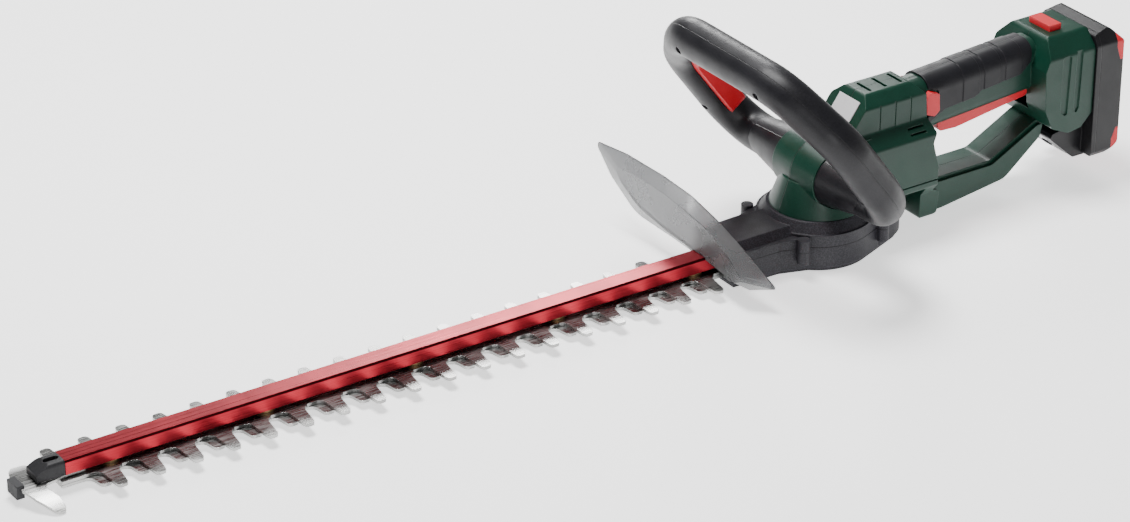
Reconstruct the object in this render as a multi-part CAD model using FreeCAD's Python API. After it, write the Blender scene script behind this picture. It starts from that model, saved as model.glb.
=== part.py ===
import FreeCAD, Part
import math
import os

# Battery hedge trimmer. Millimetres, +X to the back, +Z up, -Y the tool's left side.
# Origin: on the flat underside of the gear housing, below the crank axis.

V = FreeCAD.Vector

# ---- driving dimensions -------------------------------------------------------------
TOOTH_PITCH = 31.0
NEAR_TEETH = 18
CUT_HALF_WIDTH = 38.0
BLADE_THICK = 2.6
BLADE_GAP = 0.2
BAR_HALF_WIDTH = 8.7
BAR_HEIGHT = 11.8
GEAR_MODULE = 1.25
GEAR_TEETH = 62
PINION_TEETH = 14
MOTOR_CENTRE = GEAR_MODULE * (GEAR_TEETH + PINION_TEETH) / 2.0
BODY_HALF_WIDTH = 35.0
FOOT_HALF_WIDTH = 35.0
HUMP_HALF_WIDTH = 22.5
HUMP_TOP = 128.5
GRIP_HALF_WIDTH = 15.5
LOOP_HALF_WIDTH = 121.0
LOOP_HEIGHT = 159.0
LOOP_LEAN = 37.0
HUB_RADIUS = 27.0
HUB_HALF_LENGTH = 27.0
HUB_HEIGHT = 70.0
PACK_HALF_WIDTH = 37.0
PACK_TOP = 131.0
PACK_BOTTOM = 22.0
WALL = 2.5
SLIP = 0.3
RUN = 0.05

# ---- levels and stations that follow ------------------------------------------------
LOWER_BLADE_Z = 4.6
UPPER_BLADE_Z = LOWER_BLADE_Z + BLADE_THICK + BLADE_GAP
BLADE_TOP = UPPER_BLADE_Z + BLADE_THICK
BAR_BOTTOM = BLADE_TOP + 2.9
BAR_TOP = BAR_BOTTOM + BAR_HEIGHT
ECCENTRICITY = TOOTH_PITCH / 4.0
REST_SHIFT = 3.75
LAST_TOOTH_X = -121.0
FIRST_TOOTH_X = LAST_TOOTH_X - (NEAR_TEETH - 1) * TOOTH_PITCH
BAR_FRONT = FIRST_TOOTH_X - TOOTH_PITCH
BAR_REAR = -60.0
NECK_FRONT = -98.0
NECK_HALF_WIDTH = 27.0
WEB_HALF_WIDTH = 11.7
CASE_RADIUS = 48.0
CASE_SEAM = 22.0
CASE_TOP = 40.0
REAR_LOBE_RADIUS = 31.0
CASE_WALL = 3.5
GEAR_Z = BLADE_TOP + 3.2
GEAR_THICK = 8.0
BOLT_RADIUS = 2.5
BUSH_RADIUS = 4.0
FOOT_BACK = 258.0


# ---- small helpers ------------------------------------------------------------------
def save(shape, name):
    shape.exportStep("parts/" + name + ".step")


def box(x0, x1, y0, y1, z0, z1):
    return Part.makeBox(x1 - x0, y1 - y0, z1 - z0, V(x0, y0, z0))


def cyl_z(x, y, z0, z1, r):
    return Part.makeCylinder(r, z1 - z0, V(x, y, z0), V(0, 0, 1))


def cyl_y(x, z, y0, y1, r):
    return Part.makeCylinder(r, y1 - y0, V(x, y0, z), V(0, 1, 0))


def cyl_x(y, z, x0, x1, r):
    return Part.makeCylinder(r, x1 - x0, V(x0, y, z), V(1, 0, 0))


def join(shapes):
    first = shapes[0]
    if len(shapes) == 1:
        return first
    return first.fuse(shapes[1:]).removeSplitter()


def both_sides(shape):
    return [shape, shape.mirror(V(0, 0, 0), V(0, 1, 0))]


def round_wire(points, radii, place):
    """A closed outline of straight lines whose corners are arcs. place turns (a, b) into a point."""
    if not isinstance(radii, (list, tuple)):
        radii = [radii] * len(points)
    edges = []
    joints = []
    count = len(points)
    for i in range(count):
        here = V(points[i][0], points[i][1], 0)
        back = (V(points[i - 1][0], points[i - 1][1], 0) - here)
        ahead_point = points[(i + 1) % count]
        ahead = (V(ahead_point[0], ahead_point[1], 0) - here)
        r = radii[i]
        if r <= 0:
            joints.append((here, None, here))
            continue
        angle = back.getAngle(ahead)
        reach = min(r / math.tan(angle / 2.0), back.Length * 0.49, ahead.Length * 0.49)
        r = reach * math.tan(angle / 2.0)
        back.normalize()
        ahead.normalize()
        middle = back + ahead
        middle.normalize()
        depth = r / math.sin(angle / 2.0) - r
        joints.append((here + back * reach, here + middle * depth, here + ahead * reach))
    for i in range(count):
        start, via, end = joints[i]
        if via is not None:
            edges.append(Part.Arc(place(start.x, start.y), place(via.x, via.y),
                                  place(end.x, end.y)).toShape())
        following = joints[(i + 1) % count][0]
        if (following - end).Length > 1e-6:
            edges.append(Part.makeLine(place(end.x, end.y), place(following.x, following.y)))
    return Part.Wire(edges)


def plate(points, radii, z0, z1):
    wire = round_wire(points, radii, lambda a, b: V(a, b, z0))
    return Part.Face(wire).extrude(V(0, 0, z1 - z0))


def slab(points, radii, y0, y1):
    wire = round_wire(points, radii, lambda a, b: V(a, y0, b))
    return Part.Face(wire).extrude(V(0, y1 - y0, 0))


def bar_along_x(points, radii, x0, x1):
    wire = round_wire(points, radii, lambda a, b: V(x0, a, b))
    return Part.Face(wire).extrude(V(x1 - x0, 0, 0))


def mirrored(points):
    """Completes a symmetric outline from its half with positive first values."""
    return points + [(-a, b) for a, b in reversed(points)]


def inset(points, distance):
    """Moves every side of an outline inwards by the same distance."""
    area = sum(points[i - 1][0] * points[i][1] - points[i][0] * points[i - 1][1]
               for i in range(len(points)))
    turn = 1.0 if area > 0 else -1.0
    result = []
    for i in range(len(points)):
        p = V(points[i - 1][0], points[i - 1][1], 0)
        q = V(points[i][0], points[i][1], 0)
        s = V(points[(i + 1) % len(points)][0], points[(i + 1) % len(points)][1], 0)
        d1 = (q - p).normalize()
        d2 = (s - q).normalize()
        n1 = V(-d1.y, d1.x, 0) * turn
        n2 = V(-d2.y, d2.x, 0) * turn
        scale = 1.0 + n1.dot(n2)
        moved = q + (n1 + n2) * (distance / max(scale, 0.2))
        result.append((moved.x, moved.y))
    return result


def tube_path(points, r):
    """A round wire run through points, with ball joints at the bends."""
    pieces = []
    for a, b in zip(points[:-1], points[1:]):
        start = V(*a)
        run = V(*b) - start
        pieces.append(Part.makeCylinder(r, run.Length, start, run))
    for p in points[1:-1]:
        pieces.append(Part.makeSphere(r, V(*p)))
    return join(pieces)


def screw_z(x, y, head_z, tip_z, head_r, shank_r, head_h):
    """A pan screw on a vertical line. head_z is the level under its head."""
    way = 1.0 if head_z > tip_z else -1.0
    head = cyl_z(x, y, min(head_z, head_z + way * head_h), max(head_z, head_z + way * head_h), head_r)
    shank = cyl_z(x, y, min(head_z, tip_z), max(head_z, tip_z), shank_r)
    return join([head, shank])


# ---- cutting gear -------------------------------------------------------------------
TOOTH_ROOT = 12.6
FAR_OFFSET = 4.9
BOLT_STATIONS = [FIRST_TOOTH_X + 8.0 + i * (LAST_TOOTH_X - FIRST_TOOTH_X - 8.0) / 4.0 for i in range(5)]
BOLT_STATIONS.append(-76.0)
YOKE_ECCENTRIC_R = 10.0
WINDOW_HALF_LENGTH = YOKE_ECCENTRIC_R + 2 * ECCENTRICITY + 0.4
WINDOW_HALF_WIDTH = YOKE_ECCENTRIC_R + ECCENTRICITY + 0.4
YOKE_HALF_LENGTH = WINDOW_HALF_LENGTH + 4.0
YOKE_HALF_WIDTH = WINDOW_HALF_WIDTH + 4.5
BLADE_FRONT = BAR_FRONT - 5.0


def tooth(x, side, tip, z0, z1):
    outline = [
        (x - 10.0, side * (WEB_HALF_WIDTH - 2.0)),
        (x - 10.0, side * (WEB_HALF_WIDTH)),
        (x - 5.6, side * (TOOTH_ROOT + 1.6)),
        (x - 3.9, side * tip),
        (x + 4.3, side * tip),
        (x + 7.6, side * (TOOTH_ROOT + 3.0)),
        (x + 12.5, side * (WEB_HALF_WIDTH)),
        (x + 12.5, side * (WEB_HALF_WIDTH - 2.0)),
    ]
    return plate(outline, [0, 0, 5.0, 3.4, 3.4, 7.0, 0, 0], z0, z1)


def blade(z0, shift, tip, tooth_shift, slot_back, slot_ahead):
    z1 = z0 + BLADE_THICK
    web = box(BLADE_FRONT, shift - WINDOW_HALF_LENGTH - 1.0, -WEB_HALF_WIDTH, WEB_HALF_WIDTH, z0, z1)
    yoke_outline = mirrored([(YOKE_HALF_LENGTH, -YOKE_HALF_WIDTH), (YOKE_HALF_LENGTH, YOKE_HALF_WIDTH)])
    yoke = plate(yoke_outline, 11.0, z0, z1)
    yoke.translate(V(shift, 0, 0))
    window_outline = mirrored([(WINDOW_HALF_LENGTH, -WINDOW_HALF_WIDTH), (WINDOW_HALF_LENGTH, WINDOW_HALF_WIDTH)])
    window = plate(window_outline, 8.0, z0 - 1, z1 + 1)
    window.translate(V(shift, 0, 0))
    pieces = [web, yoke]
    for i in range(NEAR_TEETH):
        x = FIRST_TOOTH_X + i * TOOTH_PITCH + tooth_shift
        pieces.append(tooth(x, -1, tip, z0, z1))
        far_x = x + FAR_OFFSET - TOOTH_PITCH
        pieces.append(tooth(far_x, 1, tip, z0, z1))
    solid = join(pieces).cut(window)
    for x in BOLT_STATIONS:
        slot = box(x - slot_back, x + slot_ahead, -BUSH_RADIUS - 0.15, BUSH_RADIUS + 0.15, z0 - 1, z1 + 1)
        solid = solid.cut(slot)
    return solid


TRAVEL_BACK = ECCENTRICITY - REST_SHIFT
TRAVEL_AHEAD = ECCENTRICITY + REST_SHIFT


def upper_blade():
    return blade(UPPER_BLADE_Z, REST_SHIFT, CUT_HALF_WIDTH, 0.0,
                 BUSH_RADIUS + TRAVEL_BACK + 0.3, BUSH_RADIUS + TRAVEL_AHEAD + 0.3)


def lower_blade():
    return blade(LOWER_BLADE_Z, -REST_SHIFT, CUT_HALF_WIDTH - 11.5, -2 * REST_SHIFT,
                 BUSH_RADIUS + TRAVEL_AHEAD + 0.3, BUSH_RADIUS + TRAVEL_BACK + 0.3)


def guide_bar():
    half = mirrored([(BAR_HALF_WIDTH, BAR_BOTTOM), (BAR_HALF_WIDTH, BAR_TOP - 1.9), (BAR_HALF_WIDTH - 1.0, BAR_TOP)])
    solid = bar_along_x(half, 0, BAR_FRONT, BAR_REAR)
    solid = solid.cut(box(BAR_FRONT - 1, BAR_REAR + 1, -5.2, 5.2, BAR_BOTTOM - 1, BAR_BOTTOM + 4.6))
    for x in BOLT_STATIONS:
        solid = solid.cut(cyl_z(x, 0, BAR_BOTTOM, BAR_TOP - 2.2, BOLT_RADIUS))
    return solid.cut(cyl_z(TIP_SCREW_X, 0, BAR_BOTTOM, BAR_TOP - 2.2, 2.0))


def blade_bolts():
    heads = []
    for x in BOLT_STATIONS:
        head = plate([(x + 4.6 * math.cos(math.radians(60 * k)), 4.6 * math.sin(math.radians(60 * k)))
                      for k in range(6)], 0, 0.5, 3.0)
        heads.append(join([head, cyl_z(x, 0, 3.0, BAR_TOP - 3.0, BOLT_RADIUS)]))
    return Part.makeCompound(heads)


def blade_washers():
    rings = [cyl_z(x, 0, 3.0, LOWER_BLADE_Z - 0.1, 9.0).cut(cyl_z(x, 0, 2.0, 6.0, BOLT_RADIUS)) for x in BOLT_STATIONS]
    return Part.makeCompound(rings)


def blade_bushes():
    rings = []
    for x in BOLT_STATIONS:
        sleeve = cyl_z(x, 0, LOWER_BLADE_Z - 0.1, BAR_BOTTOM, BUSH_RADIUS)
        collar = cyl_z(x, 0, BLADE_TOP + 0.1, BAR_BOTTOM, 7.4)
        rings.append(join([sleeve, collar]).cut(cyl_z(x, 0, 0, BAR_TOP, BOLT_RADIUS)))
    return Part.makeCompound(rings)


# ---- nose of the bar ----------------------------------------------------------------
TIP_SCREW_X = BAR_FRONT + 9.0
CAP_FRONT = BAR_FRONT - 23.0
SLOT_X = BAR_FRONT - 7.4
GUARD_PLATE = 2.0


def hang_slot_tool(z0, z1):
    return plate([(SLOT_X - 6.1, -2.5), (SLOT_X + 6.1, -2.5), (SLOT_X + 6.1, 2.5), (SLOT_X - 6.1, 2.5)],
                 2.45, z0, z1)


def tip_guard():
    top = BAR_BOTTOM
    span = CUT_HALF_WIDTH - 1.0
    front = CAP_FRONT - 13.0
    rear = BLADE_FRONT - TRAVEL_AHEAD + 3.6
    droop_radius = 74.0
    half = [(front, 9.0), (front + 5.0, span * 0.6), (front + 14.0, span), (rear - 1.0, span),
            (rear - 1.0, span * 0.72), (CAP_FRONT + 3.0, 11.0), (BAR_FRONT, 8.0)]
    outline = half + [(a, -b) for a, b in reversed(half)]
    radii = [6.0, 12.0, 8.0, 3.0, 6.0, 4.0, 0.0]
    lobes = plate(outline, radii + radii[::-1], top - 20.0, top + 1.0)
    shell = cyl_x(0, top - droop_radius, front - 1, BAR_FRONT + 1, droop_radius)
    shell = shell.cut(cyl_x(0, top - droop_radius, front - 2, BAR_FRONT + 2, droop_radius - GUARD_PLATE))
    lobes = lobes.common(shell)
    tongue = box(BAR_FRONT - 20.0, TIP_SCREW_X + 7.0, -8.0, 8.0, top - GUARD_PLATE, top)
    solid = join([lobes, tongue])
    solid = solid.cut(box(front, BAR_FRONT + 30, -20, 20, top, top + 5))
    solid = solid.cut(hang_slot_tool(top - 8, top + 2))
    solid = solid.cut(cyl_z(TIP_SCREW_X, 0, top - GUARD_PLATE - 1, top + 1, 2.0))
    return solid.cut(cyl_z(TIP_SCREW_X, 0, top - GUARD_PLATE - 1, top - GUARD_PLATE + 1.2, 4.0))


def tip_screw():
    top = BAR_BOTTOM
    head = cyl_z(TIP_SCREW_X, 0, top - GUARD_PLATE, top - GUARD_PLATE + 1.2, 4.0)
    return join([head, cyl_z(TIP_SCREW_X, 0, top - GUARD_PLATE + 1.2, BAR_TOP - 3.0, 2.0)])


def tip_cap():
    side = [(CAP_FRONT, BAR_BOTTOM), (BAR_FRONT, BAR_BOTTOM), (BAR_FRONT, BAR_TOP),
            (BAR_FRONT - 12.5, BAR_TOP), (CAP_FRONT, BAR_TOP - 5.5)]
    body = slab(side, [1.2, 0, 0, 2.0, 1.5], -BAR_HALF_WIDTH + 0.3, BAR_HALF_WIDTH - 0.3)
    top = mirrored([(BAR_HALF_WIDTH - 0.3, BAR_BOTTOM - 1), (BAR_HALF_WIDTH - 0.3, BAR_TOP)])
    body = body.common(bar_along_x(top, [0, 3.2, 3.2, 0], CAP_FRONT - 1, BAR_FRONT + 1))
    tongue = box(BAR_FRONT - 2, TIP_SCREW_X + 6.0, -5.1, 5.1, BAR_BOTTOM, BAR_BOTTOM + 4.5)
    solid = join([body, tongue])
    solid = solid.cut(hang_slot_tool(BAR_BOTTOM - 1, BAR_TOP + 1))
    return solid.cut(cyl_z(TIP_SCREW_X, 0, 0, BAR_TOP, 2.0))


def tip_bumper(guard):
    front = CAP_FRONT - 16.0
    pad = bar_along_x([(-8.0, 4.0), (8.0, 4.0), (8.0, 15.0), (-8.0, 15.0)], 1.2, front, front + 6.0)
    return pad.cut(guard)


# ---- gear housing -------------------------------------------------------------------
def case_plan(grow, z0, z1):
    """The housing seen from above: a round for the gear, a smaller one for the pinion, a neck."""
    big = CASE_RADIUS + grow
    small = REAR_LOBE_RADIUS + grow
    lean = math.asin((big - small) / MOTOR_CENTRE)
    c, s = math.cos(lean), math.sin(lean)
    flank = [(big * s, big * c), (MOTOR_CENTRE + small * s, small * c)]
    web = plate(flank + [(a, -b) for a, b in reversed(flank)], 0, z0, z1)
    return join([cyl_z(0, 0, z0, z1, big), cyl_z(MOTOR_CENTRE, 0, z0, z1, small), web])


def neck_block(grow, z0, z1, front):
    wide = NECK_HALF_WIDTH + grow
    outline = [(front, -wide), (-55.0, -wide - 1.5), (-20.0, -CASE_RADIUS + 8 - grow),
               (-20.0, CASE_RADIUS - 8 + grow), (-55.0, wide + 1.5), (front, wide)]
    return plate(outline, 0, z0, z1)


def neck_top():
    """The neck's roof: a flat strip with a broad slope down to each side."""
    shape = mirrored([(NECK_HALF_WIDTH - 1.0, 29.0), (NECK_HALF_WIDTH - 9.0, 36.0)])
    return bar_along_x(shape, 0, NECK_FRONT, -20.0)


SCREW_POSTS = [(-40.0, -38.0), (-40.0, 38.0), (38.0, -40.0), (38.0, 40.0), (80.0, 0.0)]
POST_RADIUS = 5.0
POST_BOTTOM = 11.0


def posts(z0, z1, r):
    return [cyl_z(x, y, z0, z1, r) for x, y in SCREW_POSTS]


def bearing_seat(z0, z1, r):
    return cyl_z(0, 0, z0, z1, r)


def gear_case_lower():
    outer = join([case_plan(0, 0, CASE_SEAM), neck_block(0, 0, CASE_SEAM, NECK_FRONT)])
    trim = join([case_plan(0, 4.0, CASE_SEAM), case_plan(-2.5, 0, 4.0),
                 neck_block(0, 4.0, CASE_SEAM, NECK_FRONT), neck_block(-3, 0, 4.0, NECK_FRONT)])
    outer = outer.common(trim)
    outer = join([outer] + posts(POST_BOTTOM, CASE_SEAM, POST_RADIUS))
    hollow = case_plan(-CASE_WALL, 3.0, CASE_SEAM + 1)
    lane = box(NECK_FRONT - 1, 0, -WEB_HALF_WIDTH - 2.2, WEB_HALF_WIDTH + 2.2, 2.9, BAR_BOTTOM)
    bar_room = box(NECK_FRONT - 1, BAR_REAR, -BAR_HALF_WIDTH, BAR_HALF_WIDTH, BAR_BOTTOM - 1, CASE_SEAM + 1)
    solid = outer.cut(hollow).cut(lane).cut(bar_room)
    back_room = box(BAR_REAR - 0.01, 0, -WEB_HALF_WIDTH - 2.2, WEB_HALF_WIDTH + 2.2, 2.9, CASE_SEAM + 1)
    solid = solid.cut(back_room)
    bolt = BOLT_STATIONS[-1]
    solid = solid.cut(cyl_z(bolt, 0, -1, 5, 9.6))
    for x, y in SCREW_POSTS:
        solid = solid.cut(cyl_z(x, y, 0, CASE_SEAM + 1, 2.0)).cut(cyl_z(x, y, 0, POST_BOTTOM + 3.0, 3.6))
    return solid


def gear_case_upper():
    slope = CASE_TOP - 31.0
    round_top = Part.makeCone(CASE_RADIUS - 1.0, CASE_RADIUS - 8.0, slope, V(0, 0, 31.0))
    rear_top = Part.makeCone(REAR_LOBE_RADIUS - 1.0, REAR_LOBE_RADIUS - 8.0, slope, V(MOTOR_CENTRE, 0, 31.0))
    outer = join([case_plan(0, CASE_SEAM, 32.0), neck_block(0, CASE_SEAM, 30.0, NECK_FRONT),
                  neck_top(), case_plan(-8.0, 32.0, CASE_TOP), round_top, rear_top])
    outer = join([outer] + posts(CASE_SEAM, 32.0, POST_RADIUS))
    hollow = case_plan(-CASE_WALL, CASE_SEAM - 1, 26.0)
    bar_room = box(NECK_FRONT - 1, BAR_REAR, -BAR_HALF_WIDTH, BAR_HALF_WIDTH, CASE_SEAM - 1, BAR_TOP)
    solid = outer.cut(hollow).cut(bar_room)
    solid = solid.cut(box(BAR_REAR - 0.01, -30, -WEB_HALF_WIDTH, WEB_HALF_WIDTH, CASE_SEAM - 1, 26.0))
    solid = solid.cut(bearing_seat(25, CASE_TOP - 2.0, 13.0))
    solid = solid.cut(cyl_z(0, 0, 20, CASE_TOP + 1, 7.5))
    solid = solid.cut(cyl_z(MOTOR_CENTRE, 0, 20, CASE_TOP + 1, 11.0))
    for x, y in SCREW_POSTS:
        solid = solid.cut(cyl_z(x, y, CASE_SEAM - 1, 29.0, 2.0))
    return solid


def gear_case_screws():
    return Part.makeCompound([screw_z(x, y, POST_BOTTOM + 3.0, 28.5, 3.5, 2.0, 2.2) for x, y in SCREW_POSTS])


# ---- drive train --------------------------------------------------------------------
def gear_outline(teeth, thin, phase):
    """Corner points of an external gear with straight-sided tapered teeth."""
    pitch_r = GEAR_MODULE * teeth / 2.0
    tip_r = pitch_r + GEAR_MODULE * 0.9
    root_r = pitch_r - GEAR_MODULE * 1.2
    tooth_angle = 2 * math.pi / teeth
    base = math.radians(20.0)
    points = []
    for i in range(teeth):
        centre = phase + i * tooth_angle
        for r, side in ((root_r, -1), (pitch_r, -1), (tip_r, -1), (tip_r, 1), (pitch_r, 1), (root_r, 1)):
            inv_pitch = math.tan(base) - base
            cos_r = min(1.0, pitch_r * math.cos(base) / r)
            a = math.acos(cos_r)
            inv_r = math.tan(a) - a
            half = math.pi / (2 * teeth) + inv_pitch - inv_r - thin / pitch_r
            angle = centre + side * half
            points.append((r * math.cos(angle), r * math.sin(angle)))
    return points


CRANK_ANGLE = math.acos(REST_SHIFT / ECCENTRICITY)
BACKLASH = 0.10


def drive_gear():
    rim = plate(gear_outline(GEAR_TEETH, BACKLASH, math.pi / GEAR_TEETH), 0, GEAR_Z, GEAR_Z + GEAR_THICK)
    rim = rim.cut(cyl_z(0, 0, GEAR_Z + 5.5, GEAR_Z + 9, 33.0).cut(cyl_z(0, 0, GEAR_Z, GEAR_Z + 9, 12.0)))
    shaft = cyl_z(0, 0, GEAR_Z, CASE_TOP + 4.0, 6.0 - RUN)
    ex = ECCENTRICITY * math.cos(CRANK_ANGLE)
    ey = ECCENTRICITY * math.sin(CRANK_ANGLE)
    upper = cyl_z(ex, ey, UPPER_BLADE_Z - 0.1, GEAR_Z, YOKE_ECCENTRIC_R)
    lower = cyl_z(-ex, -ey, LOWER_BLADE_Z - 0.6, UPPER_BLADE_Z - 0.1, YOKE_ECCENTRIC_R)
    collar = cyl_z(0, 0, BLADE_TOP + 0.3, GEAR_Z, YOKE_ECCENTRIC_R + ECCENTRICITY + 0.8)
    return join([rim, shaft, upper, lower, collar])


def gear_bearings():
    lower = cyl_z(0, 0, 24.5, 30.0, 13.0).cut(cyl_z(0, 0, 20, 50, 6.0))
    upper = cyl_z(0, 0, 32.0, CASE_TOP - 2.0, 13.0).cut(cyl_z(0, 0, 20, 50, 6.0))
    return Part.makeCompound([lower, upper])


MOTOR_RADIUS = 20.5
MOTOR_Z0 = 44.0
MOTOR_Z1 = 92.0


def motor_rotor():
    pinion = plate(gear_outline(PINION_TEETH, BACKLASH, math.pi), 0, GEAR_Z - 0.5, GEAR_Z + GEAR_THICK + 1.0)
    pinion.translate(V(MOTOR_CENTRE, 0, 0))
    shaft = cyl_z(MOTOR_CENTRE, 0, GEAR_Z - 1.0, MOTOR_Z1 + 12.0, 3.0 - RUN)
    magnets = cyl_z(MOTOR_CENTRE, 0, MOTOR_Z0 + 9, MOTOR_Z1 - 9, 11.5)
    return join([pinion, shaft, magnets])


def motor_fan():
    hub = cyl_z(MOTOR_CENTRE, 0, MOTOR_Z1 + 2, MOTOR_Z1 + 11, 7.0)
    disc = cyl_z(MOTOR_CENTRE, 0, MOTOR_Z1 + 2, MOTOR_Z1 + 3.5, 17.5)
    vanes = []
    for k in range(9):
        vane = box(6.0, 17.0, -0.7, 0.7, MOTOR_Z1 + 3, MOTOR_Z1 + 10)
        vane.rotate(V(0, 0, 0), V(0, 0, 1), 40 * k)
        vane.translate(V(MOTOR_CENTRE, 0, 0))
        vanes.append(vane)
    return join([hub, disc] + vanes).cut(cyl_z(MOTOR_CENTRE, 0, 0, 200, 3.0 - RUN))


def motor_stator():
    ring = cyl_z(MOTOR_CENTRE, 0, MOTOR_Z0 + 9, MOTOR_Z1 - 9, MOTOR_RADIUS - 1.5)
    ring = ring.cut(cyl_z(MOTOR_CENTRE, 0, MOTOR_Z0, MOTOR_Z1, 12.0))
    for k in range(6):
        gap = box(12.5, 17.0, -1.2, 1.2, MOTOR_Z0, MOTOR_Z1)
        gap.rotate(V(0, 0, 0), V(0, 0, 1), 60 * k)
        gap.translate(V(MOTOR_CENTRE, 0, 0))
        ring = ring.cut(gap)
    return ring


def motor_can():
    can = cyl_z(MOTOR_CENTRE, 0, MOTOR_Z0, MOTOR_Z1, MOTOR_RADIUS)
    can = can.cut(cyl_z(MOTOR_CENTRE, 0, MOTOR_Z0 + 9, MOTOR_Z1 - 9, MOTOR_RADIUS - 1.5))
    can = can.cut(cyl_z(MOTOR_CENTRE, 0, MOTOR_Z0 + 8, MOTOR_Z1 - 8, 12.5))
    for z0, z1 in ((MOTOR_Z0 - 1, MOTOR_Z0 + 6), (MOTOR_Z1 - 6, MOTOR_Z1 + 1)):
        can = can.cut(cyl_z(MOTOR_CENTRE, 0, z0, z1, 8.0))
    return can.cut(cyl_z(MOTOR_CENTRE, 0, 0, 200, 4.0))


def motor_bearings():
    rings = []
    for z0, z1 in ((MOTOR_Z0, MOTOR_Z0 + 6), (MOTOR_Z1 - 6, MOTOR_Z1)):
        rings.append(cyl_z(MOTOR_CENTRE, 0, z0, z1, 8.0).cut(cyl_z(MOTOR_CENTRE, 0, 0, 200, 3.0)))
    seat = cyl_z(MOTOR_CENTRE, 0, 28.0, 34.0, 11.0).cut(cyl_z(MOTOR_CENTRE, 0, 0, 200, 3.0))
    rings.append(seat)
    return Part.makeCompound(rings)


# ---- main housing -------------------------------------------------------------------
BODY_FRONT = 16.0
BODY_BACK = 97.0
BODY_BOTTOM = 7.0
HANDLE_BACK = 212.0
FOOT_TOP = 136.0


def section(x, half, z0, z1, top_round, low_round):
    points = [(-half, z0), (half, z0), (half, z1), (-half, z1)]
    return round_wire(points, [low_round, low_round, top_round, top_round], lambda a, b: V(x, a, b))


def handle_core(d):
    front = section(86.0, GRIP_HALF_WIDTH - d, 79.0 + d, 124.0 - d, 12.5 - d, 9.0 - d)
    back = section(HANDLE_BACK, GRIP_HALF_WIDTH - d, 88.0 + d, 132.0 - d, 12.5 - d, 9.0 - d)
    return Part.makeLoft([front, back], True, True)


def body_block(d):
    side = [(BODY_FRONT, CASE_TOP), (BODY_FRONT, 101.0), (36.0, HUMP_TOP), (82.0, HUMP_TOP), (91.5, 119.0),
            (92.5, 99.0), (94.5, 89.0), (91.0, 80.0), (BODY_BACK, 58.0), (BODY_BACK, 34.0), (106.0, 30.0),
            (106.0, 8.0), (88.0, BODY_BOTTOM), (86.0, CASE_TOP)]
    front = mirrored([(24.0, BODY_BOTTOM), (26.5, 31.0), (BODY_HALF_WIDTH, 42.0), (BODY_HALF_WIDTH, 88.0),
                      (HUMP_HALF_WIDTH, 98.0), (HUMP_HALF_WIDTH, 120.0), (13.0, HUMP_TOP)])
    if d > 0:
        side = inset(side, d)
        front = inset(front, d)
    rounding = [0, 3, 4, 4, 4, 4, 3, 4, 4, 3, 3, 4, 4, 0]
    block = slab(side, rounding, -45, 45)
    shape = bar_along_x(front, [4, 3, 3, 4, 4, 4, 5, 5, 4, 4, 4, 3, 3, 4], 0, 120)
    return block.common(shape)


def lower_bar(d):
    side = [(96.0, 36.0), (167.0, 36.0), (214.0, 60.0), (224.0, 60.0), (220.0, 44.0), (184.0, 15.0),
            (118.0, 6.5), (96.0, 6.0)]
    if d > 0:
        side = inset(side, d)
    wide = 18.5 - d
    core = slab(side, [0, 10, 6, 2, 6, 14, 6, 0], -wide + 3, wide - 3)
    outer_side = inset(side, 3.0)
    return join([core] + [slab(outer_side, [0, 10, 6, 2, 6, 14, 6, 0], -wide, wide)])


def foot_block(d):
    side = [(206.0, 112.0), (216.0, FOOT_TOP), (FOOT_BACK, FOOT_TOP), (FOOT_BACK, 64.0), (247.0, 53.0),
            (235.0, 50.5), (216.0, 59.0), (208.0, 76.0)]
    front = mirrored([(30.0, 45.0), (FOOT_HALF_WIDTH, 52.0), (FOOT_HALF_WIDTH, 122.0), (22.0, FOOT_TOP)])
    if d > 0:
        side = inset(side, d)
        front = inset(front, d)
    block = slab(side, [4, 5, 1.5, 1.5, 3, 3, 5, 10], -45, 45)
    return block.common(bar_along_x(front, [2, 4, 6, 5, 5, 6, 4, 2], 190, 270))


def hub_barrel(d):
    parts = []
    for way in (-1, 1):
        wide = HUB_RADIUS - d
        parts.append(Part.makeCone(wide, wide - 2.5, HUB_HALF_LENGTH - d, V(0, 0, HUB_HEIGHT), V(0, way, 0)))
    return join(parts)


def skirt(d):
    cone = Part.makeCone(39.5 - d, 30.0 - d, 26.0, V(2, 0, CASE_TOP + (0 if d == 0 else -0.01)), V(0, 0, 1))
    link = slab([(-20.0, 60.0), (20.0, CASE_TOP), (34.0, CASE_TOP), (34.0, 96.0), (0.0, 96.0)], 0, -26.0 + d, 26.0 - d)
    if d > 0:
        link = slab([(-10.0, 60.0), (20.0, CASE_TOP), (34.0, CASE_TOP), (34.0, 92.0), (3.0, 92.0)], 0, -26.0 + d, 26.0 - d)
    return join([cone, link])


BODY_SCREWS = [(84.0, 66.0), (80.0, 116.0), (172.0, 28.0), (216.0, 80.0), (216.5, 122.0), (22.0, 50.0), (99.0, 13.5)]
LOCK_X = 101.0
LOCK_Z = 106.0
PIVOT_X = 120.0
PIVOT_Z = 91.0
TRIGGER_HALF_WIDTH = 10.0
CONTACT_PLACES = [-9.0, -3.0, 3.0, 9.0]


def hub_cone_radius(grow):
    return HUB_RADIUS - 3.5 + grow


def lock_outline(grow):
    return [(LOCK_X - 6.0 - grow, LOCK_Z - 8.0 - grow), (LOCK_X + 2.0, LOCK_Z - 11.0 - grow),
            (LOCK_X + 7.0 + grow, LOCK_Z - 7.0 - grow), (LOCK_X + 6.0 + grow, LOCK_Z + 8.0 + grow),
            (LOCK_X - 2.0, LOCK_Z + 11.0 + grow), (LOCK_X - 7.0 - grow, LOCK_Z + 7.0 + grow)]


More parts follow.
